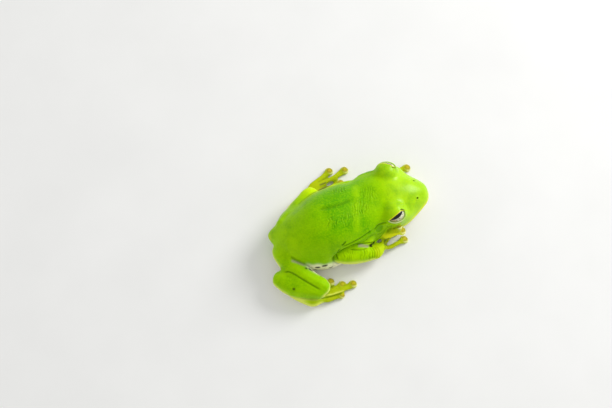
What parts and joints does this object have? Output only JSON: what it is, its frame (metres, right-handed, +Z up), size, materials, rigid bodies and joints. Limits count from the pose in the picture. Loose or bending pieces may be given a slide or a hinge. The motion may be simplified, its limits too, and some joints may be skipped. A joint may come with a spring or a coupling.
{
  "type": "green tree frog figure",
  "caption": "Life-size green tree frog at rest: belly and chin down, limbs folded close to the body, round toe pads, bulging eyes with level slit pupils.",
  "frame": {"origin": "on the floor, midway along and across the frog's overall box", "axes": "+X towards the snout, +Y to the frog's left, +Z up"},
  "size_m": [0.0488, 0.039, 0.0147],
  "materials": {
    "skin": "smooth moist skin, satin sheen",
    "digit_skin": "smooth moist skin, satin sheen",
    "eye": "wet and glossy, silver iris with a level black pupil"
  },
  "bodies": {
    "root": {"eye_left": "eye", "eye_right": "eye", "finger_1_left": "digit_skin", "finger_1_right": "digit_skin", "finger_2_left": "digit_skin", "finger_2_right": "digit_skin", "finger_3_left": "digit_skin", "finger_3_right": "digit_skin", "finger_4_left": "digit_skin", "finger_4_right": "digit_skin", "foot_left": "skin", "foot_right": "skin", "forearm_left": "skin", "forearm_right": "skin", "hand_left": "skin", "hand_right": "skin", "head": "skin", "lower_jaw": "skin", "shank_left": "skin", "shank_right": "skin", "tarsus_left": "skin", "tarsus_right": "skin", "thigh_left": "skin", "thigh_right": "skin", "toe_1_left": "digit_skin", "toe_1_right": "digit_skin", "toe_2_left": "digit_skin", "toe_2_right": "digit_skin", "toe_3_left": "digit_skin", "toe_3_right": "digit_skin", "toe_4_left": "digit_skin", "toe_4_right": "digit_skin", "toe_5_left": "digit_skin", "toe_5_right": "digit_skin", "trunk": "skin", "tympanum_left": "skin", "tympanum_right": "skin", "upper_arm_left": "skin", "upper_arm_right": "skin"}
  },
  "joints": []
}
